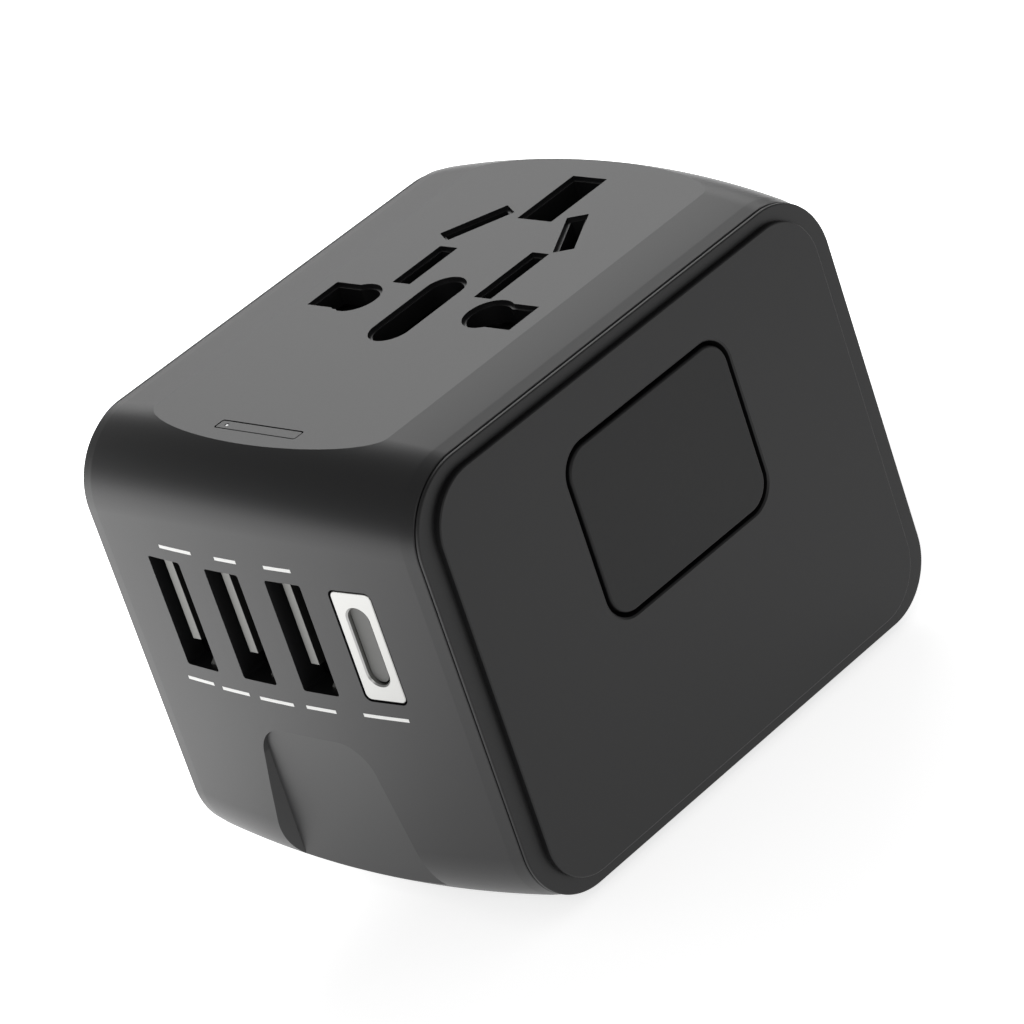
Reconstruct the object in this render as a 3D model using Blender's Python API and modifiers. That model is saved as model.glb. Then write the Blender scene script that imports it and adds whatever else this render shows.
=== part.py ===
"""Universal travel adapter: a moulded sleeve with two side caps, sockets on top, chargers in front.

Metres, +Z up. The origin is the middle of the flat plug face that the adapter rests on. The socket
face looks up, the charger ports look along -Y, and +X is the side with the release button.
"""

import math

import bpy
import bmesh
from mathutils import Matrix, Vector

MM = 0.001

# Sleeve: the body between the two seams
SLEEVE_HALF = 24.0 * MM          # half width along X
HEIGHT = 52.2 * MM               # plug face to socket face
END_HALF_Y = 31.85 * MM          # half depth at the seams
END_DROP = 1.13 * MM             # seams' section below the two flat faces
END_HALF_Z = HEIGHT / 2 - END_DROP
CORNER = 8.0 * MM                # rounding of the section's four long corners
CROWN_Y = 1.7 * MM               # how far front and back bow out at the middle
CROWN_Z = 2.1 * MM               # how far the top would bow out if it weren't cut flat
CROWN_FOOT = 1.35 * MM           # the same for the bottom
CROWN_STEPS = 12
WALL_Y = 1.6 * MM                # front and back wall at the seams
FACE_WALL = 2.4 * MM             # socket face and plug face
CAVITY_CORNER = 6.5 * MM

# Side caps
SEAM_GAP = 0.3 * MM
RIM = 0.3 * MM                   # thickness of the cap's visible rim
ISLAND_RISE = 0.75 * MM          # raised plate above the rim
ISLAND_INSET = 2.3 * MM          # raised plate's edge inside the cap's outline
ISLAND_CORNER = 6.2 * MM
CAP_DEPTH = 2.2 * MM             # part of a cap that sits inside the sleeve
FIT = 0.3 * MM                   # clearance between pieces that touch
RUN = 0.45 * MM                  # clearance round a pin that slides through a wall

# Socket openings, as half sizes and centres
SOCKET_ROW_Y = -1.45 * MM
MAINS_SLOT_OUTER = 14.55 * MM
MAINS_SLOT_HALF_Y = 2.35 * MM
EUROPE_PITCH_HALF = 9.5 * MM
EUROPE_HOLE_RADIUS = 2.8 * MM
CENTRE_SLOT = (2.5 * MM, 6.55 * MM, -2.1 * MM)       # half width, half length, centre Y
EARTH_SLOT = (2.45 * MM, 4.55 * MM, 20.95 * MM)
NEUTRAL_BLADE_SLOT = (-6.27 * MM, 1.27 * MM, 3.8 * MM, 5.88 * MM)   # X, half width, half length, Y
LIVE_BLADE_SLOT = (6.25 * MM, 1.2 * MM, 4.63 * MM, 5.83 * MM)
SLANT_SLOT_HALF = (1.2 * MM, 3.85 * MM)
SLANT_SLOT_PLACE = (6.75 * MM, 14.7 * MM)
SLANT = math.radians(30)

# Light bar on the socket face
BAR_HALF_X = 5.75 * MM
BAR_HALF_Y = 0.65 * MM
BAR_Y = -26.2 * MM
LED_X = -4.65 * MM
LED_RADIUS = 0.25 * MM

# Charger ports in the front
PORT_Z = 32.9 * MM
PORT_HALF_Z = 6.5 * MM
PORT_HALF_X = 2.5 * MM
PORT_PITCH = 8.92 * MM
PORT_FIRST_X = -13.3 * MM
PORT_SHELL = 0.5 * MM            # sheet metal of a charger port
PORT_DEPTH = 12.5 * MM
TONGUE_X = (-1.25 * MM, -0.05 * MM)     # from the port's middle
TONGUE_Z = (-3.75 * MM, 5.95 * MM)
TONGUE_SET_BACK = 1.2 * MM
C_PORT_X = 13.5 * MM
C_PORT_HALF_X = 2.85 * MM
C_HOLE_HALF_X = 1.4 * MM
C_HOLE_HALF_Z = 4.45 * MM
BOARD_THICKNESS = 1.2 * MM

# Finger recess in the lower front
RECESS_TOP = 20.6 * MM
RECESS_HALF_TOP = 7.4 * MM
RECESS_HALF_FOOT = 12.0 * MM
RECESS_FOOT = 3.0 * MM
RECESS_DEPTH = 2.1 * MM          # at the foot, from the wall's outer face
RECESS_BACKING = 1.5 * MM

# Plugs that slide out of the plug face
PIN_HALF_PITCH = 11.1 * MM
PIN_HALF = (3.175 * MM, 2.0 * MM)
EARTH_PIN_HALF = (2.0 * MM, 4.0 * MM)
EARTH_OFFSET = 22.2 * MM
PIN_OUT = 17.7 * MM
EARTH_PIN_OUT = 22.7 * MM
ROUND_PIN_RADIUS = 2.4 * MM
ROUND_PIN_OUT = 19.0 * MM
BLADE_HALF_PITCH = 6.35 * MM
BLADE_HALF = (0.75 * MM, 3.175 * MM)
BLADE_OUT = 17.0 * MM
TAIL_RADIUS = 1.0 * MM           # riveted tail that holds a pin in its carriage
TIP_INSET = 0.4 * MM             # longest pin's tip above the plug face when pulled in
CARRIAGE = 3.4 * MM              # carriage thickness
PIN_MARGIN = 0.6 * MM
MAINS_ROW_Y = -12.4 * MM
KNOB_PITCH = 12.4 * MM
ARM_HALF = 1.6 * MM

# Slider knobs in the left cap
KNOB_HALF_Y = 3.0 * MM
KNOB_HEIGHT = 6.0 * MM
TRACK_DEPTH = 1.6 * MM
STEM_HALF_Y = 1.2 * MM
STEM_HEIGHT = 2.5 * MM

# Release button in the right cap
BUTTON_Y = 0.7 * MM
BUTTON_Z = 33.65 * MM
BUTTON_HALF_Y = 12.3 * MM
BUTTON_HALF_Z = 9.55 * MM
BUTTON_CORNER = 3.0 * MM
BUTTON_GAP = 0.6 * MM
BUTTON_LIP = 1.3 * MM
LATCH = 1.7 * MM
SPRING_RADIUS = 2.2 * MM
SPRING_WIRE = 0.3 * MM
SPRING_Y = 7.0 * MM
SPRING_Z = 38.0 * MM

# Screws that hold the left cap
BOSS_RADIUS = 3.6 * MM
BOSS_INSET = 3.9 * MM           # boss centre from the cavity's walls
SCREW_RADIUS = 0.95 * MM
SCREW_HEAD_RADIUS = 2.0 * MM
SCREW_HEAD = 1.2 * MM
SCREW_LENGTH = 10.0 * MM

# Worked-out places
MID_Z = HEIGHT / 2
CAP_X = SLEEVE_HALF + SEAM_GAP
RIM_X = CAP_X + RIM
ISLAND_X = RIM_X + ISLAND_RISE
CAP_INNER_X = SLEEVE_HALF - CAP_DEPTH + FIT * 2
CAVITY_HALF_Y = END_HALF_Y - WALL_Y
CAVITY_HALF_Z = MID_Z - FACE_WALL
ARM_END = -(CAP_INNER_X - 3 * FIT)
STROKE = EARTH_PIN_OUT + TIP_INSET
CARRIAGE_BOTTOM = FACE_WALL + FIT + STROKE
CARRIAGE_TOP = CARRIAGE_BOTTOM + CARRIAGE
MAINS_BAR_HALF = PIN_HALF[1] + PIN_MARGIN
ROUND_BAR_HALF = ROUND_PIN_RADIUS + PIN_MARGIN + 0.1 * MM
BLADE_SWEEP = math.hypot(*BLADE_HALF)
BLADE_BAR_HALF = BLADE_SWEEP + RUN
ROUND_ROW_Y = MAINS_ROW_Y + MAINS_BAR_HALF + FIT + ROUND_BAR_HALF
BLADE_ROW_Y = ROUND_ROW_Y + ROUND_BAR_HALF + FIT + BLADE_BAR_HALF
EARTH_ROW_Y = MAINS_ROW_Y + EARTH_OFFSET
TRAY_BOTTOM = CARRIAGE_TOP + 1.0 * MM
TRAY = 1.6 * MM
CONTACT_Z = TRAY_BOTTOM + TRAY + FIT
CONTACT_TOP = HEIGHT - 7.7 * MM
SHUTTER_TOP = HEIGHT - FACE_WALL - FIT * 2
SHUTTER = 1.6 * MM
SHUTTER_STOP_Y = BAR_Y + BAR_HALF_Y + 1.6 * MM
FRONT_Y = -END_HALF_Y - CROWN_Y
BOARD_TOP = PORT_Z - PORT_HALF_Z - PORT_SHELL - FIT * 2
BOARD_FRONT = -CAVITY_HALF_Y + FIT
BOARD_BACK = MAINS_ROW_Y - MAINS_BAR_HALF - 1.5 * MM
RAIL_X = (EUROPE_PITCH_HALF + ROUND_PIN_RADIUS + 1.4 * MM, 2.5 * MM)   # inner face, width

for thing in list(bpy.data.objects):
    bpy.data.objects.remove(thing, do_unlink=True)

parts = bpy.data.collections.new("universal_travel_adapter")
cutters = bpy.data.collections.new("cutters")
for group in (parts, cutters):
    bpy.context.scene.collection.children.link(group)


def finish(name, colour, roughness, metallic=0.0):
    """A material with one colour, roughness and metallic value."""
    made = bpy.data.materials.new(name)
    made.use_nodes = True
    shader = made.node_tree.nodes["Principled BSDF"]
    shader.inputs["Base Color"].default_value = (*colour, 1)
    shader.inputs["Roughness"].default_value = roughness
    shader.inputs["Metallic"].default_value = metallic
    return made


HOUSING = finish("housing_plastic", (0.075, 0.076, 0.078), 0.5)
INNER = finish("inner_plastic", (0.30, 0.30, 0.30), 0.6)
BRASS = finish("brass", (0.70, 0.52, 0.25), 0.3, 1.0)
NICKEL = finish("nickel_plate", (0.65, 0.64, 0.62), 0.25, 1.0)
STEEL = finish("zinc_plated_steel", (0.55, 0.56, 0.58), 0.35, 1.0)
BOARD = finish("circuit_board", (0.02, 0.12, 0.05), 0.5)
LAMP = finish("lamp_plastic", (0.9, 0.9, 0.9), 0.4)
CERAMIC = finish("ceramic", (0.8, 0.78, 0.72), 0.5)


def place(thing, look, home=parts):
    """Names the mesh, gives it its material and moves it to its collection."""
    thing.data.name = thing.name
    if look:
        thing.data.materials.clear()
        thing.data.materials.append(look)
    for group in list(thing.users_collection):
        group.objects.unlink(thing)
    home.objects.link(thing)
    if home is cutters:
        thing.hide_render = True
        thing.display_type = "WIRE"
    return thing


def box(name, low, high, look=None, home=parts, bevel=0.0):
    """A box between two corners, with rounded edges if bevel is set."""
    low, high = Vector(low), Vector(high)
    bpy.ops.mesh.primitive_cube_add(size=1, location=(low + high) / 2)
    thing = bpy.context.object
    thing.name = name
    thing.data.transform(Matrix.Diagonal((*(high - low), 1)))
    if bevel:
        rounding = thing.modifiers.new("rounding", "BEVEL")
        rounding.width = bevel
        rounding.segments = 2
    return place(thing, look, home)


def cylinder(name, start, axis, length, radius, look=None, home=parts, sides=32, bevel=0.0):
    """A round bar that starts at a point and runs along X, Y or Z."""
    turn = {"X": (0, math.pi / 2, 0), "Y": (-math.pi / 2, 0, 0), "Z": (0, 0, 0)}[axis]
    along = Vector([length if axis == letter else 0 for letter in "XYZ"])
    bpy.ops.mesh.primitive_cylinder_add(
        vertices=sides, radius=radius, depth=abs(length), rotation=turn,
        location=Vector(start) + along / 2)
    thing = bpy.context.object
    thing.name = name
    if bevel:
        rounding = thing.modifiers.new("rounding", "BEVEL")
        rounding.width = bevel
        rounding.segments = 3
    thing.data.shade_smooth()
    thing.data.set_sharp_from_angle(angle=math.radians(35))
    return place(thing, look, home)


def rounded(half_a, half_b, radius, centre=(0, 0), steps=8):
    """Outline of a rounded rectangle, counter-clockwise."""
    points = []
    for corner, (side_a, side_b) in enumerate(((1, 1), (-1, 1), (-1, -1), (1, -1))):
        for step in range(steps + 1):
            angle = math.pi / 2 * (corner + step / steps)
            points.append((
                centre[0] + side_a * (half_a - radius) + radius * math.cos(angle),
                centre[1] + side_b * (half_b - radius) + radius * math.sin(angle)))
    return points


def prism(name, outline, axis, low, high, look=None, home=parts):
    """A flat outline given thickness along X, Y or Z. Its plane is YZ, XZ or XY."""
    curve = bpy.data.curves.new(name, "CURVE")
    curve.dimensions = "2D"
    curve.fill_mode = "BOTH"
    curve.extrude = (high - low) / 2
    spline = curve.splines.new("POLY")
    spline.points.add(len(outline) - 1)
    spline.use_cyclic_u = True
    for point, (a, b) in zip(spline.points, outline):
        point.co = (a, b, 0, 1)
    middle = (low + high) / 2
    frames = {
        "X": Matrix(((0, 0, 1, middle), (1, 0, 0, 0), (0, 1, 0, 0), (0, 0, 0, 1))),
        "Y": Matrix(((1, 0, 0, 0), (0, 0, -1, middle), (0, 1, 0, 0), (0, 0, 0, 1))),
        "Z": Matrix.Translation((0, 0, middle)),
    }
    return solid_from_curve(name, curve, frames[axis], look, home)


def solid_from_curve(name, curve, frame, look, home=parts):
    """Turns a curve into a welded mesh object and removes the curve."""
    drawn = bpy.data.objects.new(name + "_curve", curve)
    bpy.context.scene.collection.objects.link(drawn)
    bpy.context.view_layer.update()
    mesh = bpy.data.meshes.new_from_object(drawn.evaluated_get(bpy.context.evaluated_depsgraph_get()))
    bpy.data.objects.remove(drawn, do_unlink=True)
    shape = bmesh.new()
    shape.from_mesh(mesh)
    bmesh.ops.remove_doubles(shape, verts=shape.verts, dist=0.000001)
    bmesh.ops.recalc_face_normals(shape, faces=shape.faces)
    shape.to_mesh(mesh)
    shape.free()
    thing = bpy.data.objects.new(name, mesh)
    thing.matrix_world = frame
    bpy.context.scene.collection.objects.link(thing)
    return place(thing, look, home)


def combine(target, tool, operation="DIFFERENCE"):
    """A Boolean of one object with another, which becomes a hidden tool."""
    if tool.name not in cutters.objects:
        place(tool, None, cutters)
    step = target.modifiers.new(tool.name, "BOOLEAN")
    step.operation = operation
    step.solver = "EXACT"
    step.object = tool
    return target


def ride(empty, *things):
    """Parents pieces to the empty on their joint's axis."""
    for thing in things:
        thing.parent = empty
        thing.matrix_parent_inverse = empty.matrix_world.inverted()


def joint_empty(name, point):
    """An empty on a joint's axis."""
    empty = bpy.data.objects.new(name, None)
    empty.location = point
    parts.objects.link(empty)
    bpy.context.view_layer.update()
    return empty


def bow(x):
    """1 at the middle of the sleeve, 0 at the caps' rims."""
    return 1 - (x / RIM_X) ** 2


def side_outline(inset=0.0, corner=CORNER):
    """The section at the seams, seen along X, drawn in by an inset."""
    return rounded(END_HALF_Y - inset, END_HALF_Z - inset, corner, (0, MID_Z))


def socket_cutters():
    """Tools for the openings of the socket face."""
    low, high = HEIGHT - FACE_WALL - 1 * MM, HEIGHT + 2 * MM
    tools = []
    for side, label in ((-1, "neutral"), (1, "live")):
        reach = sorted((side * EUROPE_PITCH_HALF, side * MAINS_SLOT_OUTER))
        slot = box(
            f"cut_{label}_slot", (reach[0], SOCKET_ROW_Y - MAINS_SLOT_HALF_Y, low),
            (reach[1], SOCKET_ROW_Y + MAINS_SLOT_HALF_Y, high), home=cutters)
        hole = cylinder(
            f"cut_{label}_round", (side * EUROPE_PITCH_HALF, SOCKET_ROW_Y, low - 1 * MM), "Z",
            high - low + 2 * MM, EUROPE_HOLE_RADIUS, home=cutters)
        slant = prism(
            f"cut_{label}_slant", slanted_outline(side), "Z", low, high, home=cutters)
        tools += [slot, hole, slant]
    for label, (x, half_x, half_y, y) in (
            ("neutral_blade", NEUTRAL_BLADE_SLOT), ("live_blade", LIVE_BLADE_SLOT)):
        tools.append(box(
            f"cut_{label}", (x - half_x, y - half_y, low), (x + half_x, y + half_y, high), home=cutters))
    half_x, half_y, y = CENTRE_SLOT
    tools.append(prism(
        "cut_centre_slot", rounded(half_x, half_y, half_x * 0.98, (0, y)), "Z", low, high, home=cutters))
    half_x, half_y, y = EARTH_SLOT
    tools.append(box("cut_earth_slot", (-half_x, y - half_y, low), (half_x, y + half_y, high), home=cutters))
    return tools


def slanted_outline(side):
    """A slanted blade slot, whose far end leans towards the middle."""
    half_x, half_y = SLANT_SLOT_HALF
    centre = Vector((side * SLANT_SLOT_PLACE[0], SLANT_SLOT_PLACE[1]))
    turn = Matrix.Rotation(side * SLANT, 2)
    corners = [(half_x, half_y), (-half_x, half_y), (-half_x, -half_y), (half_x, -half_y)]
    return [tuple(centre + turn @ Vector(corner)) for corner in corners]


def port_places():
    """X of each blade-type charger port."""
    return [PORT_FIRST_X + PORT_PITCH * number for number in range(3)]


def front_cutters():
    """Tools for the charger ports and the finger recess."""
    low, high = FRONT_Y - 1 * MM, -CAVITY_HALF_Y + 1 * MM
    tools = []
    for number, x in enumerate(port_places(), 1):
        tools.append(box(
            f"cut_port_{number}", (x - PORT_HALF_X, low, PORT_Z - PORT_HALF_Z),
            (x + PORT_HALF_X, high, PORT_Z + PORT_HALF_Z), home=cutters))
    tools.append(prism(
        "cut_c_port", rounded(C_PORT_HALF_X, PORT_HALF_Z, 1.2 * MM, (C_PORT_X, PORT_Z)), "Y",
        low, high, home=cutters))
    recess = prism(
        "cut_recess",
        [(-RECESS_HALF_TOP, RECESS_TOP), (-RECESS_HALF_FOOT, -2 * MM),
         (RECESS_HALF_FOOT, -2 * MM), (RECESS_HALF_TOP, RECESS_TOP)],
        "Y", FRONT_Y - 2 * MM, FRONT_Y + RECESS_DEPTH, home=cutters)
    slope = math.atan(RECESS_DEPTH / (RECESS_TOP - RECESS_FOOT))
    ramp = box(
        "cut_recess_ramp", (-20 * MM, 0, -10 * MM), (20 * MM, 20 * MM, 40 * MM), home=cutters)
    ramp.data.transform(Matrix.Translation(ramp.location))
    ramp.location = (0, FRONT_Y, RECESS_TOP)
    ramp.data.transform(Matrix.Rotation(slope, 4, "X"))
    combine(recess, ramp)
    tools.append(recess)
    return tools


def plug_cutters():
    """Tools for the openings of the plug face."""
    low, high = -1 * MM, FACE_WALL + 1 * MM
    tools = []
    for side, label in ((-1, "neutral"), (1, "live")):
        x = side * PIN_HALF_PITCH
        reach = (PIN_HALF[0] + RUN, PIN_HALF[1] + RUN)
        tools.append(box(
            f"cut_{label}_pin", (x - reach[0], MAINS_ROW_Y - reach[1], low),
            (x + reach[0], MAINS_ROW_Y + reach[1], high), home=cutters))
        tools.append(cylinder(
            f"cut_{label}_round_pin", (side * EUROPE_PITCH_HALF, ROUND_ROW_Y, low), "Z", high - low,
            ROUND_PIN_RADIUS + RUN, home=cutters))
        tools.append(cylinder(
            f"cut_{label}_blade_pin", (side * BLADE_HALF_PITCH, BLADE_ROW_Y, low), "Z", high - low,
            BLADE_SWEEP + FIT, home=cutters))
    reach = (EARTH_PIN_HALF[0] + RUN, EARTH_PIN_HALF[1] + RUN)
    tools.append(box(
        "cut_earth_pin", (-reach[0], EARTH_ROW_Y - reach[1], low),
        (reach[0], EARTH_ROW_Y + reach[1], high), home=cutters))
    return tools


def boss_places():
    """The four screw bosses as (Y, Z)."""
    return [
        (side_y * (CAVITY_HALF_Y - BOSS_INSET), MID_Z + side_z * (CAVITY_HALF_Z - BOSS_INSET))
        for side_y in (-1, 1) for side_z in (-1, 1)]


def main_shell():
    """Crowned sleeve, cut flat on its socket face and plug face, open at both caps."""
    shell = prism("main_shell", side_outline(), "X", -SLEEVE_HALF, SLEEVE_HALF, HOUSING)
    shape = bmesh.new()
    shape.from_mesh(shell.data)
    shape.transform(shell.matrix_world)
    shell.matrix_world = Matrix.Identity(4)
    for step in range(1, CROWN_STEPS):
        cut_x = SLEEVE_HALF * (2 * step / CROWN_STEPS - 1)
        bmesh.ops.bisect_plane(
            shape, geom=shape.verts[:] + shape.edges[:] + shape.faces[:],
            plane_co=(cut_x, 0, 0), plane_no=(1, 0, 0))
    for vertex in shape.verts:
        swell = bow(vertex.co.x)
        crown = CROWN_Z if vertex.co.z > MID_Z else CROWN_FOOT
        vertex.co.y *= 1 + CROWN_Y * swell / END_HALF_Y
        vertex.co.z = MID_Z + (vertex.co.z - MID_Z) * (1 + crown * swell / END_HALF_Z)
    shape.to_mesh(shell.data)
    shape.free()

    reach = END_HALF_Y * 1.5
    combine(shell, box("faces_slab", (-reach, -reach, 0), (reach, reach, HEIGHT), home=cutters), "INTERSECT")
    combine(shell, prism(
        "cut_cavity", rounded(CAVITY_HALF_Y, CAVITY_HALF_Z, CAVITY_CORNER, (0, MID_Z)), "X",
        -reach, reach, home=cutters))
    recess_y = FRONT_Y + RECESS_DEPTH + RECESS_BACKING
    combine(shell, box(
        "recess_backing", (-RECESS_HALF_FOOT - RECESS_BACKING, -CAVITY_HALF_Y - 1 * MM, FACE_WALL - 0.5 * MM),
        (RECESS_HALF_FOOT + RECESS_BACKING, recess_y, RECESS_TOP + RECESS_BACKING), home=cutters), "UNION")
    combine(shell, box(
        "tray_ledge", (-12 * MM, CAVITY_HALF_Y - 3 * MM, TRAY_BOTTOM - FIT - 1.8 * MM),
        (12 * MM, CAVITY_HALF_Y + 0.8 * MM, TRAY_BOTTOM - FIT), home=cutters), "UNION")
    for number, (y, z) in enumerate(boss_places(), 1):
        end = -CAP_INNER_X + 2 * FIT
        combine(shell, cylinder(
            f"boss_{number}", (end, y, z), "X", SCREW_LENGTH + 4 * MM, BOSS_RADIUS, home=cutters), "UNION")
        combine(shell, cylinder(
            f"cut_boss_{number}", (end - 1 * MM, y, z), "X", SCREW_LENGTH + 2 * MM,
            SCREW_RADIUS + FIT, home=cutters))
    combine(shell, box(
        "shutter_stop", (-3 * MM, SHUTTER_STOP_Y - 1.2 * MM, SHUTTER_TOP - SHUTTER - 2 * SPRING_RADIUS),
        (3 * MM, SHUTTER_STOP_Y, HEIGHT - FACE_WALL + 0.5 * MM), home=cutters), "UNION")
    bar = (BAR_HALF_X + FIT / 2, BAR_HALF_Y + FIT / 2)
    combine(shell, box(
        "cut_light_bar", (-bar[0], BAR_Y - bar[1], HEIGHT - 1.5 * MM),
        (bar[0], BAR_Y + bar[1], HEIGHT + 1 * MM), home=cutters))
    combine(shell, cylinder(
        "cut_led", (LED_X, BAR_Y, HEIGHT - FACE_WALL - 1 * MM), "Z", 4 * MM, LED_RADIUS + FIT, home=cutters,
        sides=16))
    for tool in socket_cutters() + front_cutters() + plug_cutters():
        combine(shell, tool)


def cap_blank(name, side):
    """A cap's rim, its raised plate and the plug that sits inside the sleeve."""
    def span(a, b):
        return sorted((side * a, side * b))
    cap = prism(name, side_outline(), "X", *span(CAP_X, RIM_X), HOUSING)
    island = rounded(
        END_HALF_Y - ISLAND_INSET, END_HALF_Z - ISLAND_INSET + 1 * MM, ISLAND_CORNER, (0, MID_Z))
    combine(cap, prism(name + "_island", island, "X", *span(CAP_X + 0.1 * MM, ISLAND_X), home=cutters), "UNION")
    plug = rounded(CAVITY_HALF_Y - FIT, CAVITY_HALF_Z - FIT, CAVITY_CORNER - FIT, (0, MID_Z))
    combine(cap, prism(name + "_plug", plug, "X", *span(CAP_INNER_X, CAP_X + 0.2 * MM), home=cutters), "UNION")
    return cap


def knob_places():
    """Y of each slider: three-pin plug, round-pin plug and blade plug."""
    return {"uk": MAINS_ROW_Y, "eu": MAINS_ROW_Y + KNOB_PITCH, "us": MAINS_ROW_Y + 2 * KNOB_PITCH}


def left_side_cap():
    """Cap with three sunk tracks for the sliders and four screws."""
    cap = cap_blank("left_side_cap", -1)
    stem_low = CARRIAGE_TOP - STEM_HEIGHT
    for label, y in knob_places().items():
        combine(cap, box(
            f"cut_track_{label}", (-ISLAND_X - 1 * MM, y - KNOB_HALF_Y - FIT, stem_low - STROKE - FIT),
            (-ISLAND_X + TRACK_DEPTH, y + KNOB_HALF_Y + FIT, stem_low + KNOB_HEIGHT + FIT), home=cutters))
        combine(cap, box(
            f"cut_stem_{label}", (-ISLAND_X - 2 * MM, y - STEM_HALF_Y - FIT, stem_low - STROKE - FIT / 2),
            (-CAP_INNER_X + 2 * MM, y + STEM_HALF_Y + FIT, CARRIAGE_TOP + FIT), home=cutters))
    for number, (y, z) in enumerate(boss_places(), 1):
        combine(cap, cylinder(
            f"cut_cap_screw_{number}", (-ISLAND_X - 1 * MM, y, z), "X", 8 * MM,
            SCREW_RADIUS + FIT, home=cutters))
        combine(cap, cylinder(
            f"cut_cap_head_{number}", (-ISLAND_X - 1 * MM, y, z), "X",
            1 * MM + SCREW_HEAD + 2 * FIT, SCREW_HEAD_RADIUS + FIT, home=cutters))


def screws():
    """Four self-tapping screws through the left cap into the sleeve's bosses."""
    for number, (y, z) in enumerate(boss_places(), 1):
        head_x = -ISLAND_X + FIT
        screw = cylinder(
            f"cap_screw_{number}", (head_x, y, z), "X", SCREW_HEAD, SCREW_HEAD_RADIUS, STEEL, bevel=0.2 * MM)
        shank = cylinder(
            f"shank_{number}", (head_x + SCREW_HEAD / 2, y, z), "X", SCREW_LENGTH, SCREW_RADIUS,
            home=cutters, sides=16)
        combine(screw, shank, "UNION")
        for turn in (0, math.pi / 2):
            slot = box(
                f"cross_{number}_{turn:.0f}", (head_x - 1 * MM, -1.2 * MM, -0.25 * MM),
                (head_x + 0.6 * MM, 1.2 * MM, 0.25 * MM), home=cutters)
            slot.rotation_euler.x = turn
            slot.location.y, slot.location.z = y, z
            combine(screw, slot)


def right_side_cap():
    """Cap with the opening that the release button fills."""
    cap = cap_blank("right_side_cap", 1)
    opening = rounded(
        BUTTON_HALF_Y + BUTTON_GAP, BUTTON_HALF_Z + BUTTON_GAP, BUTTON_CORNER + BUTTON_GAP,
        (BUTTON_Y, BUTTON_Z), 6)
    combine(cap, prism(
        "cut_button", opening, "X", CAP_INNER_X - 2 * MM, ISLAND_X + 2 * MM, home=cutters))


def release():
    """Button, latch bar behind it, and the spring that holds them out."""
    lip_x = CAP_INNER_X - FIT
    face = rounded(BUTTON_HALF_Y, BUTTON_HALF_Z, BUTTON_CORNER, (BUTTON_Y, BUTTON_Z), 6)
    lip = rounded(
        BUTTON_HALF_Y + BUTTON_GAP + BUTTON_LIP, BUTTON_HALF_Z + BUTTON_GAP + BUTTON_LIP,
        BUTTON_CORNER, (BUTTON_Y, BUTTON_Z), 6)
    button = prism("release_button", face, "X", lip_x - 1.2 * MM, ISLAND_X, HOUSING)
    combine(button, prism(
        "button_lip", lip, "X", lip_x - 1.3 * MM, lip_x, home=cutters), "UNION")
    latch_x = lip_x - 1.3 * MM - FIT
    low = CARRIAGE_BOTTOM + 0.6 * MM
    outline = [
        (-4 * MM, low), (0.5 * MM, low), (0.5 * MM, CONTACT_Z), (SPRING_Y + 3.4 * MM, CONTACT_Z),
        (SPRING_Y + 3.4 * MM, SPRING_Z + 3.4 * MM), (-4 * MM, SPRING_Z + 3.4 * MM)]
    latch = prism("latch_bar", outline, "X", latch_x - LATCH, latch_x, INNER)
    ride(joint_empty("release_press", (ISLAND_X, BUTTON_Y, BUTTON_Z)), button, latch)
    post_x = RAIL_X[0] - 0.6 * MM
    coil(
        "release_spring", Vector((post_x + FIT, SPRING_Y, SPRING_Z)),
        Vector((latch_x - LATCH - FIT, SPRING_Y, SPRING_Z)), 4, STEEL)


def coil(name, start, end, turns, look):
    """A compression spring between two points."""
    along = end - start
    inset = along.normalized() * SPRING_WIRE
    start, along = start + inset, along - 2 * inset
    side = along.orthogonal().normalized() * (SPRING_RADIUS - SPRING_WIRE)
    lift = along.normalized().cross(side)
    curve = bpy.data.curves.new(name, "CURVE")
    curve.dimensions = "3D"
    curve.bevel_depth = SPRING_WIRE
    curve.bevel_resolution = 1
    curve.use_fill_caps = True
    per_turn = 14
    spline = curve.splines.new("POLY")
    spline.points.add(turns * per_turn)
    for index, point in enumerate(spline.points):
        angle = 2 * math.pi * index / per_turn
        share = index / (turns * per_turn)
        at = start + along * share + side * math.cos(angle) + lift * math.sin(angle)
        point.co = (*at, 1)
    solid_from_curve(name, curve, Matrix.Identity(4), look)


def pin_tail(pin, x, y):
    """Joins the riveted tail to a pin's top."""
    tail = cylinder(
        pin.name + "_tail", (x, y, CARRIAGE_BOTTOM - 1 * MM), "Z", CARRIAGE + 0.8 * MM, TAIL_RADIUS,
        home=cutters, sides=16)
    combine(pin, tail, "UNION")


def carriage(name, outline, tails):
    """A plug's carriage, with a hole for the tail of each pin."""
    plate = prism(name, outline, "Z", CARRIAGE_BOTTOM, CARRIAGE_TOP, INNER)
    for number, (x, y) in enumerate(tails, 1):
        combine(plate, cylinder(
            f"cut_{name}_{number}", (x, y, CARRIAGE_BOTTOM - 1 * MM), "Z", CARRIAGE + 2 * MM,
            TAIL_RADIUS + FIT, home=cutters, sides=16))
    return plate


def slider(label, y):
    """A knob in its track, with the stem that reaches through the cap to the carriage's arm."""
    low = CARRIAGE_TOP - STEM_HEIGHT
    knob = box(
        f"{label}_slider", (-ISLAND_X + 0.05 * MM, y - KNOB_HALF_Y, low),
        (-ISLAND_X + TRACK_DEPTH - FIT, y + KNOB_HALF_Y, low + KNOB_HEIGHT), HOUSING, bevel=0.3 * MM)
    combine(knob, box(
        f"{label}_stem", (-ISLAND_X + 0.8 * MM, y - STEM_HALF_Y, low + 0.1 * MM),
        (ARM_END - FIT, y + STEM_HALF_Y, CARRIAGE_TOP), home=cutters), "UNION")
    return knob


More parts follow.
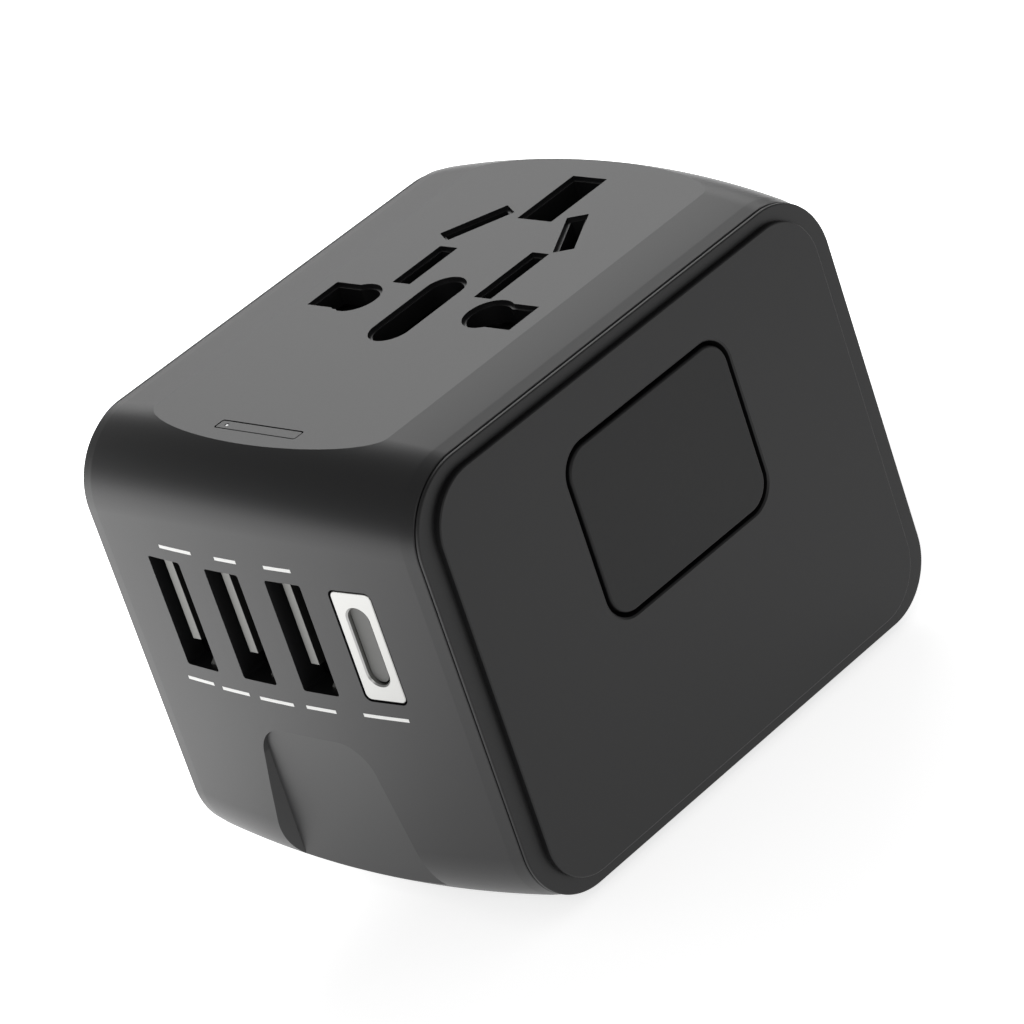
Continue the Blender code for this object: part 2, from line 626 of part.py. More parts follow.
def mains_plug():
    """Three rectangular pins on a carriage that reaches round the other two."""
    top = CARRIAGE_BOTTOM - FIT
    low_y, high_y = MAINS_ROW_Y - MAINS_BAR_HALF, MAINS_ROW_Y + MAINS_BAR_HALF
    bar_x = PIN_HALF_PITCH + PIN_HALF[0] + PIN_MARGIN
    rail_in, rail_out = RAIL_X[0], RAIL_X[0] + RAIL_X[1]
    earth_low = BLADE_ROW_Y + BLADE_BAR_HALF + FIT
    earth_high = EARTH_ROW_Y + EARTH_PIN_HALF[1] + PIN_MARGIN
    earth_x = -EARTH_PIN_HALF[0] - 1.4 * MM
    knob_y = knob_places()["uk"]
    outline = [
        (ARM_END, knob_y - ARM_HALF), (-bar_x, knob_y - ARM_HALF), (-bar_x, low_y), (rail_out, low_y),
        (rail_out, earth_high), (earth_x, earth_high), (earth_x, earth_low), (rail_in, earth_low),
        (rail_in, high_y), (-bar_x, high_y), (-bar_x, knob_y + ARM_HALF), (ARM_END, knob_y + ARM_HALF)]
    places = [(-PIN_HALF_PITCH, MAINS_ROW_Y), (PIN_HALF_PITCH, MAINS_ROW_Y), (0, EARTH_ROW_Y)]
    plate = carriage("uk_carriage", outline, places)
    pieces = [plate, slider("uk", knob_y)]
    sizes = [(PIN_HALF, PIN_OUT), (PIN_HALF, PIN_OUT), (EARTH_PIN_HALF, EARTH_PIN_OUT)]
    for label, (x, y), (half, out) in zip(("neutral", "live", "earth"), places, sizes):
        pin = box(
            f"uk_{label}_pin", (x - half[0], y - half[1], STROKE - out), (x + half[0], y + half[1], top),
            BRASS, bevel=0.5 * MM)
        pin_tail(pin, x, y)
        pieces.append(pin)
    ride(joint_empty("uk_slide", (0, MAINS_ROW_Y, CARRIAGE_BOTTOM)), *pieces)


def round_plug():
    """Two round pins on a straight carriage."""
    top = CARRIAGE_BOTTOM - FIT
    low_y, high_y = ROUND_ROW_Y - ROUND_BAR_HALF, ROUND_ROW_Y + ROUND_BAR_HALF
    bar_x = EUROPE_PITCH_HALF + ROUND_PIN_RADIUS + 1.1 * MM
    knob_y = knob_places()["eu"]
    arm_out, arm_in = -bar_x - 6 * MM, -bar_x - 3 * MM
    outline = [
        (arm_out, low_y), (bar_x, low_y), (bar_x, high_y), (arm_in, high_y),
        (arm_in, knob_y + ARM_HALF), (ARM_END, knob_y + ARM_HALF), (ARM_END, knob_y - ARM_HALF),
        (arm_out, knob_y - ARM_HALF)]
    places = [(-EUROPE_PITCH_HALF, ROUND_ROW_Y), (EUROPE_PITCH_HALF, ROUND_ROW_Y)]
    plate = carriage("eu_carriage", outline, places)
    pieces = [plate, slider("eu", knob_y)]
    for number, (x, y) in enumerate(places, 1):
        tip = STROKE - ROUND_PIN_OUT
        pin = cylinder(
            f"eu_pin_{number}", (x, y, tip), "Z", top - tip, ROUND_PIN_RADIUS, BRASS, bevel=1.0 * MM)
        pin_tail(pin, x, y)
        pieces.append(pin)
    ride(joint_empty("eu_slide", (0, ROUND_ROW_Y, CARRIAGE_BOTTOM)), *pieces)


def blade_plug():
    """Two flat blades that slide out together and turn between straight and slanted."""
    top = CARRIAGE_BOTTOM - FIT
    low_y, high_y = BLADE_ROW_Y - BLADE_BAR_HALF, BLADE_ROW_Y + BLADE_BAR_HALF
    bar_x = BLADE_HALF_PITCH + BLADE_BAR_HALF + PIN_MARGIN
    knob_y = knob_places()["us"]
    link_out, link_in = -bar_x - 2.6 * MM, -bar_x + 0.8 * MM
    outline = [
        (link_out, low_y), (bar_x, low_y), (bar_x, high_y), (link_in, high_y),
        (link_in, knob_y + ARM_HALF), (ARM_END, knob_y + ARM_HALF), (ARM_END, knob_y - ARM_HALF),
        (link_out, knob_y - ARM_HALF)]
    places = [(-BLADE_HALF_PITCH, BLADE_ROW_Y), (BLADE_HALF_PITCH, BLADE_ROW_Y)]
    plate = carriage("us_carriage", outline, places)
    slide = joint_empty("us_slide", (0, BLADE_ROW_Y, CARRIAGE_BOTTOM))
    ride(slide, plate, slider("us", knob_y))
    for number, (x, y) in enumerate(places, 1):
        tip = STROKE - BLADE_OUT
        blade = box(
            f"us_blade_{number}", (x - BLADE_HALF[0], y - BLADE_HALF[1], tip),
            (x + BLADE_HALF[0], y + BLADE_HALF[1], top), BRASS, bevel=0.3 * MM)
        pin_tail(blade, x, y)
        pivot = joint_empty(f"us_twist_{number}", (x, y, CARRIAGE_BOTTOM))
        ride(slide, pivot)
        bpy.context.view_layer.update()
        ride(pivot, blade)


def contact_tray():
    """Floor that carries the socket contacts, with the post that the release spring pushes on."""
    back = CAVITY_HALF_Y - FIT
    tray = box(
        "contact_tray", (-17 * MM, BOARD_BACK + FIT, TRAY_BOTTOM), (17 * MM, back, TRAY_BOTTOM + TRAY), INNER)
    post_x = RAIL_X[0] - 0.6 * MM
    combine(tray, box(
        "spring_post", (post_x - 1.5 * MM, SPRING_Y - 3.4 * MM, TRAY_BOTTOM + 0.5 * MM),
        (post_x, SPRING_Y + 3.4 * MM, SPRING_Z + 3.4 * MM), home=cutters), "UNION")


def clip_outline(centre, half, top, sheet=0.6 * MM):
    """A bent strip with a floor and two upright leaves, seen along its length."""
    return [
        (centre - half, CONTACT_Z), (centre + half, CONTACT_Z), (centre + half, top),
        (centre + half - sheet, top), (centre + half - sheet, CONTACT_Z + sheet),
        (centre - half + sheet, CONTACT_Z + sheet), (centre - half + sheet, top), (centre - half, top)]


def socket_contacts():
    """Bent brass clips that grip the pins of a plug in the socket face."""
    for side, label in ((-1, "neutral"), (1, "live")):
        reach = sorted((side * (EUROPE_PITCH_HALF - 1.2 * MM), side * (MAINS_SLOT_OUTER + 0.5 * MM)))
        prism(
            f"{label}_contact", clip_outline(SOCKET_ROW_Y, MAINS_SLOT_HALF_Y + 0.5 * MM, CONTACT_TOP),
            "X", reach[0], reach[1], BRASS)
        slot = LIVE_BLADE_SLOT if side > 0 else NEUTRAL_BLADE_SLOT
        low_y = SOCKET_ROW_Y + MAINS_SLOT_HALF_Y + 0.5 * MM + 2 * FIT
        prism(
            f"{label}_blade_contact", clip_outline(slot[0], slot[1] + 0.7 * MM, CONTACT_TOP), "Y",
            low_y, slot[3] + slot[2] + 0.4 * MM, BRASS)
    half_x, half_y, y = EARTH_SLOT
    prism(
        "earth_contact", clip_outline(0, half_x + 0.6 * MM, CONTACT_TOP), "Y", y - half_y, y + half_y, BRASS)


def shutter():
    """Plate that covers the mains holes until a plug pushes it towards the front."""
    wing = (5.4 * MM, MAINS_SLOT_OUTER + 0.8 * MM)
    back = SOCKET_ROW_Y + EUROPE_HOLE_RADIUS + 0.4 * MM
    bridge = (CENTRE_SLOT[2] - CENTRE_SLOT[1] - 4.2 * MM, CENTRE_SLOT[2] - CENTRE_SLOT[1] - 0.8 * MM)
    outline = [
        (wing[1], back), (wing[0], back), (wing[0], bridge[1]), (-wing[0], bridge[1]), (-wing[0], back),
        (-wing[1], back), (-wing[1], bridge[0]), (wing[1], bridge[0])]
    plate = prism("shutter", outline, "Z", SHUTTER_TOP - SHUTTER, SHUTTER_TOP, LAMP)
    tab = box(
        "shutter_tab", (-2.8 * MM, bridge[0], SHUTTER_TOP - 4.6 * MM),
        (2.8 * MM, bridge[0] + 1.5 * MM, SHUTTER_TOP - SHUTTER / 2), home=cutters)
    combine(plate, tab, "UNION")
    ride(joint_empty("shutter_slide", (0, bridge[0], SHUTTER_TOP)), plate)
    spring_z = SHUTTER_TOP - SHUTTER - SPRING_RADIUS * 0.5
    coil(
        "shutter_spring", Vector((0, bridge[0] - FIT, spring_z)),
        Vector((0, SHUTTER_STOP_Y + FIT, spring_z)), 6, STEEL)


def light():
    """Light bar let into the socket face, and the lamp that shows through it."""
    bar = box(
        "light_bar", (-BAR_HALF_X, BAR_Y - BAR_HALF_Y, HEIGHT - 1.2 * MM),
        (BAR_HALF_X, BAR_Y + BAR_HALF_Y, HEIGHT - 0.05 * MM), HOUSING)
    combine(bar, cylinder(
        "cut_bar_led", (LED_X, BAR_Y, HEIGHT - 2 * MM), "Z", 4 * MM, LED_RADIUS + FIT * 0.8, home=cutters,
        sides=16))
    cylinder(
        "power_led", (LED_X, BAR_Y, HEIGHT - FACE_WALL), "Z", FACE_WALL - 0.05 * MM, LED_RADIUS, LAMP, sides=16)


def charger():
    """Charger board with its ports on top and its large components hanging below."""
    box(
        "charger_board", (-19 * MM, BOARD_FRONT, BOARD_TOP - BOARD_THICKNESS),
        (19 * MM, BOARD_BACK, BOARD_TOP), BOARD)
    port_y = BOARD_FRONT
    for number, x in enumerate(port_places(), 1):
        outer = (PORT_HALF_X + PORT_SHELL + 0.1 * MM, PORT_HALF_Z + PORT_SHELL + 0.1 * MM)
        shell = box(
            f"usb_a_port_{number}", (x - outer[0], port_y, PORT_Z - outer[1]),
            (x + outer[0], port_y + PORT_DEPTH, PORT_Z + outer[1]), NICKEL)
        combine(shell, box(
            f"cut_port_shell_{number}", (x - PORT_HALF_X - 0.1 * MM, port_y - 1 * MM, PORT_Z - PORT_HALF_Z - 0.1 * MM),
            (x + PORT_HALF_X + 0.1 * MM, port_y + PORT_DEPTH - PORT_SHELL, PORT_Z + PORT_HALF_Z + 0.1 * MM),
            home=cutters))
        box(
            f"usb_a_tongue_{number}", (x + TONGUE_X[0], FRONT_Y + TONGUE_SET_BACK, PORT_Z + TONGUE_Z[0]),
            (x + TONGUE_X[1], port_y + PORT_DEPTH - PORT_SHELL - FIT, PORT_Z + TONGUE_Z[1]), LAMP)
    front = -END_HALF_Y - CROWN_Y * bow(C_PORT_X + C_PORT_HALF_X) + 0.1 * MM
    c_port = prism(
        "usb_c_port", rounded(C_PORT_HALF_X - FIT, PORT_HALF_Z - FIT, 1.0 * MM, (C_PORT_X, PORT_Z)), "Y",
        front, front + 10 * MM, NICKEL)
    combine(c_port, prism(
        "cut_c_hole", rounded(C_HOLE_HALF_X, C_HOLE_HALF_Z, C_HOLE_HALF_X * 0.98, (C_PORT_X, PORT_Z)), "Y",
        front - 1 * MM, front + 8.5 * MM, home=cutters))
    box(
        "usb_c_tongue", (C_PORT_X - 0.35 * MM, front + 1.2 * MM, PORT_Z - 3.3 * MM),
        (C_PORT_X + 0.35 * MM, front + 8.5 * MM - FIT, PORT_Z + 3.3 * MM), INNER)
    hang = BOARD_TOP - BOARD_THICKNESS - FIT
    depth = (FRONT_Y + RECESS_DEPTH + RECESS_BACKING + 2 * FIT, BOARD_BACK - FIT)
    box("transformer", (-15 * MM, depth[0], hang - 13 * MM), (1 * MM, depth[1], hang), CERAMIC, bevel=0.4 * MM)
    for number, x in enumerate((6.5 * MM, 15.5 * MM), 1):
        radius = min(3.9 * MM, (depth[1] - depth[0]) / 2)
        cylinder(
            f"capacitor_{number}", (x, (depth[0] + depth[1]) / 2, hang - 13 * MM), "Z", 13 * MM,
            radius, INNER, sides=24)


def fuse():
    """Cartridge fuse held in two clips under the contact tray."""
    y, z, radius = EARTH_ROW_Y + 13 * MM, TRAY_BOTTOM - 5.2 * MM, 2.5 * MM
    cylinder("fuse", (-10 * MM, y, z), "X", 20 * MM, radius, CERAMIC, sides=24)
    inner, outer = radius + FIT, radius + FIT + 0.5 * MM
    top = TRAY_BOTTOM - FIT
    outline = [
        (y - outer, z - radius), (y - inner, z - radius), (y - inner, z + inner), (y + inner, z + inner),
        (y + inner, z - radius), (y + outer, z - radius), (y + outer, top), (y - outer, top)]
    for number, x in enumerate((-9 * MM, 6 * MM), 1):
        prism(f"fuse_clip_{number}", outline, "X", x, x + 3 * MM, BRASS)


main_shell()
left_side_cap()
right_side_cap()
screws()
light()
contact_tray()
socket_contacts()
shutter()
charger()
fuse()
mains_plug()
round_plug()
blade_plug()
release()
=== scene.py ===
"""Universal travel adapter: finished surfaces, materials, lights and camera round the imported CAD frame."""

import math

import bmesh
import bpy
from mathutils import Matrix, Quaternion, Vector


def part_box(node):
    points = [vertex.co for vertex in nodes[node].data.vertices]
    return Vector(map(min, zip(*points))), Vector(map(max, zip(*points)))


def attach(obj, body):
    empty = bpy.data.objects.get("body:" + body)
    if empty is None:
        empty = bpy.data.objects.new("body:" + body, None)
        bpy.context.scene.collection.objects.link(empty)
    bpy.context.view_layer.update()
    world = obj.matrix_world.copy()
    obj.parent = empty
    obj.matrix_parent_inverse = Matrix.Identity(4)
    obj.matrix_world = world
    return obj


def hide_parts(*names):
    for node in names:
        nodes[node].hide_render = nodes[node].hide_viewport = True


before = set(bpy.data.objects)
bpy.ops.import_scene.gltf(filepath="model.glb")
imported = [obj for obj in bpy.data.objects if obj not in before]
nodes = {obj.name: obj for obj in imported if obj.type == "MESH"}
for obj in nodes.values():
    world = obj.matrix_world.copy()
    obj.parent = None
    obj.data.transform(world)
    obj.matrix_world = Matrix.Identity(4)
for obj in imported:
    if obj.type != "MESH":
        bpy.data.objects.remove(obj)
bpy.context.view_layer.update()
bpy.ops.object.select_all(action="DESELECT")
MM = 0.001

# Case sleeve. One injection-moulded piece in fine-grained black ABS/PC. It is barrel-shaped from
# side to side, its long corners are round, and the two faces are flats that cut through the barrel.
sleeve_low, sleeve_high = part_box("main_shell")
SLEEVE_HALF = sleeve_high.x
HEIGHT = sleeve_high.z
MID_Z = HEIGHT / 2
END_HALF_Y = 31.85 * MM
END_HALF_Z = 24.97 * MM
RIM_X = 24.6 * MM
CORNERS = {(-1, -1): 8.0 * MM, (-1, 1): 8.0 * MM, (1, -1): 6.8 * MM, (1, 1): 8.0 * MM}
CORNER_STEPS = 30


def select(thing, kind, test):
    """Opens a mesh in edit mode with only the vertices, edges or faces that pass a test selected."""
    bpy.context.view_layer.objects.active = thing
    if thing.mode != "EDIT":
        thing.select_set(True)
        bpy.ops.object.mode_set(mode="EDIT")
    bpy.ops.mesh.select_mode(type=kind)
    bpy.ops.mesh.select_all(action="DESELECT")
    shape = bmesh.from_edit_mesh(thing.data)
    for item in {"VERT": shape.verts, "EDGE": shape.edges, "FACE": shape.faces}[kind]:
        item.select_set(bool(test(item)))
    bmesh.update_edit_mesh(thing.data)


def close_edit(thing):
    """Back to object mode, with nothing selected."""
    bpy.ops.object.mode_set(mode="OBJECT")
    thing.select_set(False)


def block(name, low, high):
    """A box primitive between two corners, its place and size in its mesh."""
    low, high = Vector(low), Vector(high)
    bpy.ops.mesh.primitive_cube_add(size=1, location=(low + high) / 2, scale=high - low)
    thing = bpy.context.object
    thing.name = name
    bpy.ops.object.transform_apply(location=True, rotation=True, scale=True)
    thing.select_set(False)
    return thing


def round_edges(thing, axis, radius, steps):
    """Rounds the edges that run along an axis."""
    def along(edge):
        run = edge.verts[1].co - edge.verts[0].co
        return abs(run["XYZ".index(axis)]) > 0.999 * run.length
    select(thing, "EDGE", along)
    bpy.ops.mesh.bevel(offset=radius, segments=steps, affect="EDGES")
    close_edit(thing)


def round_case(thing):
    """Rounds the case's four long corners, each to its own radius."""
    for (side_y, side_z), radius in CORNERS.items():
        select(thing, "EDGE", lambda edge: abs(edge.verts[0].co.x - edge.verts[1].co.x) > 0.1 * MM and all(
            side_y * vertex.co.y > 0 and side_z * (vertex.co.z - MID_Z) > 0 for vertex in edge.verts))
        bpy.ops.mesh.bevel(offset=radius, segments=CORNER_STEPS, affect="EDGES")
    close_edit(thing)


def boolean(thing, tool, operation="DIFFERENCE"):
    """Cuts a tool from a piece, or joins it to the piece, and removes the tool."""
    bpy.context.view_layer.objects.active = thing
    step = thing.modifiers.new("step", "BOOLEAN")
    step.operation = operation
    step.solver = "EXACT"
    step.object = tool
    bpy.ops.object.modifier_apply(modifier=step.name)
    bpy.data.objects.remove(tool, do_unlink=True)


def bow(x):
    """1 at the middle of the sleeve and 0 at the caps' rims."""
    return 1 - (x / RIM_X) ** 2


sleeve = block(
    "case_sleeve", (-SLEEVE_HALF, -END_HALF_Y, MID_Z - END_HALF_Z),
    (SLEEVE_HALF, END_HALF_Y, MID_Z + END_HALF_Z))
round_case(sleeve)
RINGS = 32
EDGE_FACET_X = 22.3 * MM
EDGE_FACET_DROP = 0.08 * MM
NEAR = 0.01 * MM
WELD = 1e-7
cuts = [SLEEVE_HALF * (2 * step / RINGS - 1) for step in range(1, RINGS)]
cuts += [-EDGE_FACET_X, EDGE_FACET_X]
for cut_x in cuts:
    select(sleeve, "FACE", lambda face: True)
    bpy.ops.mesh.bisect(plane_co=(cut_x, 0, 0), plane_no=(1, 0, 0), threshold=WELD)
CROWN_Y = 1.7 * MM
CROWN_Z = 2.1 * MM
CROWN_FOOT = 1.35 * MM
for ring_x in cuts + [-SLEEVE_HALF, SLEEVE_HALF]:
    drop = EDGE_FACET_DROP * max(0.0, (abs(ring_x) - EDGE_FACET_X) / (SLEEVE_HALF - EDGE_FACET_X))
    for half, crown in ((1, CROWN_Z), (-1, CROWN_FOOT)):
        select(sleeve, "VERT", lambda vertex: abs(vertex.co.x - ring_x) < NEAR
               and half * (vertex.co.z - MID_Z) > 0)
        bpy.ops.transform.resize(
            value=(1, 1 + (CROWN_Y * bow(ring_x) - drop) / END_HALF_Y,
                   1 + (crown * bow(ring_x) - drop) / END_HALF_Z),
            center_override=(0, 0, MID_Z))
for plane_z, outward in ((HEIGHT, 1), (0, -1)):
    select(sleeve, "FACE", lambda face: True)
    bpy.ops.mesh.bisect(
        plane_co=(0, 0, plane_z), plane_no=(0, 0, outward), use_fill=True, clear_outer=True,
        threshold=WELD)
select(sleeve, "EDGE", lambda edge: all(
    abs(abs(vertex.co.x) - SLEEVE_HALF) < NEAR for vertex in edge.verts))
bpy.ops.mesh.bevel(offset=0.12 * MM, segments=3, affect="EDGES")
close_edit(sleeve)

WALL_Y = 1.6 * MM
FACE_WALL = 2.4 * MM
CAVITY_CORNER = 6.5 * MM
cavity = block(
    "cavity", (-2 * SLEEVE_HALF, -END_HALF_Y + WALL_Y, FACE_WALL),
    (2 * SLEEVE_HALF, END_HALF_Y - WALL_Y, HEIGHT - FACE_WALL))
round_edges(cavity, "X", CAVITY_CORNER, 12)
boolean(sleeve, cavity)

# Socket openings. Each is a shallow pocket with a narrow ledge inside it, round the through hole. The
# two mains holes take a rectangular and a round pin in one opening.
SOCKET_ROW_Y = -1.45 * MM
MAINS_OUTER = 14.55 * MM
MAINS_HALF_Y = 2.35 * MM
ROUND_X = 9.5 * MM
ROUND_RADIUS = 2.8 * MM
SLANT = math.radians(30)
LEDGE = 0.38 * MM
LEDGE_DEPTH = 0.42 * MM
LEVELS = ((0, HEIGHT - LEDGE_DEPTH), (LEDGE, HEIGHT - FACE_WALL - MM))
LEAST_CORNER = 0.1 * MM
SLANT_X = 6.75 * MM
SLANT_HALF_X = 1.2 * MM


def rod(name, centre, axis, length, radius, sides=96):
    """A cylinder primitive along X, Y or Z, its place in its mesh."""
    turn = {"X": (0, math.pi / 2, 0), "Y": (math.pi / 2, 0, 0), "Z": (0, 0, 0)}[axis]
    bpy.ops.mesh.primitive_cylinder_add(
        vertices=sides, radius=radius, depth=length, location=centre, rotation=turn)
    thing = bpy.context.object
    thing.name = name
    bpy.ops.object.transform_apply(location=True, rotation=True, scale=True)
    thing.select_set(False)
    return thing


def socket_slot(low, high, turn=0.0, corner=0.12 * MM, steps=3):
    """One opening of the socket face between two corners: its pocket, then the hole inside."""
    centre = ((low[0] + high[0]) / 2, (low[1] + high[1]) / 2)
    half = (abs(high[0] - low[0]) / 2, (high[1] - low[1]) / 2)
    for shrink, bottom in LEVELS:
        tool = block(
            "slot", (shrink - half[0], shrink - half[1], bottom),
            (half[0] - shrink, half[1] - shrink, HEIGHT + MM))
        round_edges(tool, "Z", max(corner - shrink, LEAST_CORNER), steps)
        tool.data.transform(Matrix.Translation((*centre, 0)) @ Matrix.Rotation(turn, 4, "Z"))
        boolean(sleeve, tool)


for side in (-1, 1):
    for shrink, bottom in LEVELS:
        tool = block(
            "mains", (side * ROUND_X, SOCKET_ROW_Y - MAINS_HALF_Y + shrink, bottom),
            (side * (MAINS_OUTER - shrink), SOCKET_ROW_Y + MAINS_HALF_Y - shrink, HEIGHT + MM))
        if side < 0:
            select(tool, "FACE", lambda face: True)
            bpy.ops.mesh.normals_make_consistent(inside=False)
            close_edit(tool)
        boolean(tool, rod(
            "round", (side * ROUND_X, SOCKET_ROW_Y, (bottom + HEIGHT + MM) / 2), "Z",
            HEIGHT + MM - bottom, ROUND_RADIUS - shrink), "UNION")
        boolean(sleeve, tool)
    socket_slot(
        (side * SLANT_X - SLANT_HALF_X, 10.85 * MM), (side * SLANT_X + SLANT_HALF_X, 18.55 * MM),
        side * SLANT)
socket_slot((-7.54 * MM, 2.08 * MM), (-5.0 * MM, 9.68 * MM))
socket_slot((5.05 * MM, 1.2 * MM), (7.45 * MM, 10.46 * MM))
socket_slot((-2.45 * MM, 16.4 * MM), (2.45 * MM, 25.5 * MM))
socket_slot((-2.5 * MM, -8.65 * MM), (2.5 * MM, 4.45 * MM), corner=2.49 * MM, steps=24)

# Plug face. The pins come out through plain holes: rectangular, round, and round again for the
# blades, which turn in theirs.
RUN = 0.45 * MM
BLADE_RUN = 0.38 * MM
for pin in ("uk_live_pin", "uk_neutral_pin", "uk_earth_pin"):
    pin_low, pin_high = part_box(pin)
    tool = block(
        "pin_hole", (pin_low.x - RUN, pin_low.y - RUN, -2 * MM),
        (pin_high.x + RUN, pin_high.y + RUN, FACE_WALL + MM))
    round_edges(tool, "Z", 0.4 * MM, 4)
    boolean(sleeve, tool)
for pin, margin in (
        ("eu_pin_1", RUN), ("eu_pin_2", RUN), ("us_blade_1", BLADE_RUN), ("us_blade_2", BLADE_RUN)):
    pin_low, pin_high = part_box(pin)
    centre = (pin_low + pin_high) / 2
    radius = (pin_high.y - pin_low.y) / 2 + margin
    boolean(sleeve, rod("pin_hole", (centre.x, centre.y, 0), "Z", 8 * MM, radius))

# Openings for the charger ports and the light bar, moulded in the sleeve. Three ports are alike and
# have sharp corners, the fourth is wider and rounder, and the bar's seat is sunk in the socket face.
FRONT_Y = sleeve_low.y
PORT_Z = 32.9 * MM
PORT_HALF_Z = 6.5 * MM
PORT_HALF_X = 2.5 * MM
PORT_XS = [-13.3 * MM, -4.38 * MM, 4.54 * MM]
C_PORT_X = 13.5 * MM
C_HALF_X = 2.85 * MM
openings = [(port_x, PORT_HALF_X, 0.3 * MM) for port_x in PORT_XS] + [(C_PORT_X, C_HALF_X, 0.85 * MM)]
for port_x, half_x, corner in openings:
    tool = block(
        "port", (port_x - half_x, FRONT_Y - MM, PORT_Z - PORT_HALF_Z),
        (port_x + half_x, FRONT_Y + 5 * MM, PORT_Z + PORT_HALF_Z))
    round_edges(tool, "Y", corner, 8)
    boolean(sleeve, tool)
bar_low, bar_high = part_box("light_bar")
BAR_GAP = 0.13 * MM
tool = block(
    "bar_seat", (bar_low.x - BAR_GAP, bar_low.y - BAR_GAP, bar_low.z - 0.2 * MM),
    (bar_high.x + BAR_GAP, bar_high.y + BAR_GAP, HEIGHT + MM))
round_edges(tool, "Z", 0.3 * MM, 6)
boolean(sleeve, tool)

# Finger recess in the lower front: a sloping floor between drafted walls, with round upper corners.
# It gets deeper downwards and runs out where the case rounds off to the plug face.
RECESS_TOP = 20.6 * MM
RECESS_HALF = 7.4 * MM
RECESS_FLARE = 0.2035
RECESS_SLOPE = 0.105
RECESS_DRAFT = 0.35
RECESS_START = 0.42 * MM
RECESS_CORNER = 3.4 * MM
RECESS_LENGTH = 30 * MM
RECESS_REACH = 6 * MM
tool = block(
    "recess", (-RECESS_HALF, -RECESS_REACH, -RECESS_LENGTH), (RECESS_HALF, 0, 0))
select(tool, "VERT", lambda vertex: vertex.co.z < -MM)
bpy.ops.transform.resize(
    value=(1 + (RECESS_FLARE - RECESS_DRAFT * RECESS_SLOPE) * RECESS_LENGTH / RECESS_HALF, 1, 1),
    center_override=(0, 0, 0))
select(tool, "EDGE", lambda edge: all(vertex.co.z > -MM for vertex in edge.verts)
       and abs(edge.verts[0].co.y - edge.verts[1].co.y) > MM)
bpy.ops.mesh.bevel(offset=RECESS_CORNER, segments=24, affect="EDGES")
select(tool, "VERT", lambda vertex: vertex.co.y < -MM)
bpy.ops.transform.resize(
    value=(1 + RECESS_DRAFT * RECESS_REACH / RECESS_HALF, 1, 1), center_override=(0, 0, 0))
close_edit(tool)
tool.data.transform(
    Matrix.Translation((0, FRONT_Y + RECESS_START, RECESS_TOP))
    @ Matrix.Rotation(math.atan(RECESS_SLOPE), 4, "X"))
boolean(sleeve, tool)

# The sleeve's finish: ABS/PC with a fine spark-eroded grain, nearly black, with a soft sheen where a
# lamp meets it. The grain is drawn at 0.25 mm, coarser than the real 0.1 mm, so that it shows.
CREASE = math.radians(4.2)


def smooth(thing, angle=CREASE, weighted=True):
    """Smooth shading that breaks at creases, with large flats kept flat."""
    thing.select_set(True)
    bpy.context.view_layer.objects.active = thing
    bpy.ops.object.shade_smooth_by_angle(angle=angle)
    if weighted:
        step = thing.modifiers.new("flats", "WEIGHTED_NORMAL")
        step.keep_sharp = True
        bpy.ops.object.modifier_apply(modifier=step.name)
    thing.select_set(False)


def linear(code):
    """An sRGB hex colour as linear RGBA."""
    parts = [int(code[i:i + 2], 16) / 255 for i in (1, 3, 5)]
    return (*[p / 12.92 if p <= 0.04045 else ((p + 0.055) / 1.055) ** 2.4 for p in parts], 1.0)


def add_node(tree, kind, settings=None, links=None, **attributes):
    """Adds a node, with its socket values, its links from other sockets and its own attributes."""
    node = tree.nodes.new(kind)
    for name, value in attributes.items():
        setattr(node, name, value)
    for name, value in (settings or {}).items():
        node.inputs[name].default_value = value
    for name, source in (links or {}).items():
        tree.links.new(source, node.inputs[name])
    return node


def material(name, colour, roughness, metallic=0.0, **sockets):
    """A material whose shader has plain values; patterns are linked to it afterwards."""
    made = bpy.data.materials.new(name)
    made.use_nodes = True
    shader = made.node_tree.nodes["Principled BSDF"]
    shader.inputs["Base Color"].default_value = linear(colour)
    shader.inputs["Roughness"].default_value = roughness
    shader.inputs["Metallic"].default_value = metallic
    for socket, value in sockets.items():
        shader.inputs[socket.replace("_", " ")].default_value = value
    return made


def grain(made, size, strength, depth, spread=0.0):
    """Spark-eroded mould grain: bumps of one size, and a little unevenness in the gloss."""
    tree = made.node_tree
    shader = tree.nodes["Principled BSDF"]
    place = add_node(tree, "ShaderNodeTexCoord")
    noise = add_node(
        tree, "ShaderNodeTexNoise", {"Scale": 1 / size, "Detail": 3.0, "Roughness": 0.6},
        {"Vector": place.outputs["Object"]})
    bump = add_node(
        tree, "ShaderNodeBump", {"Strength": strength, "Distance": depth},
        {"Height": noise.outputs["Fac"]})
    tree.links.new(bump.outputs["Normal"], shader.inputs["Normal"])
    if spread:
        gloss = shader.inputs["Roughness"].default_value
        wide = add_node(
            tree, "ShaderNodeMapRange", {"To Min": gloss - spread, "To Max": gloss + spread},
            {"Value": noise.outputs["Fac"]})
        tree.links.new(wide.outputs["Result"], shader.inputs["Roughness"])
    return made


smooth(sleeve)
abs_case = grain(
    material("black_abs_spark_grain", "#131314", 0.40, IOR=1.53), 0.25 * MM, 0.08, 0.02 * MM, 0.02)
sleeve.data.materials.append(abs_case)
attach(sleeve, "housing")
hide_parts("main_shell")

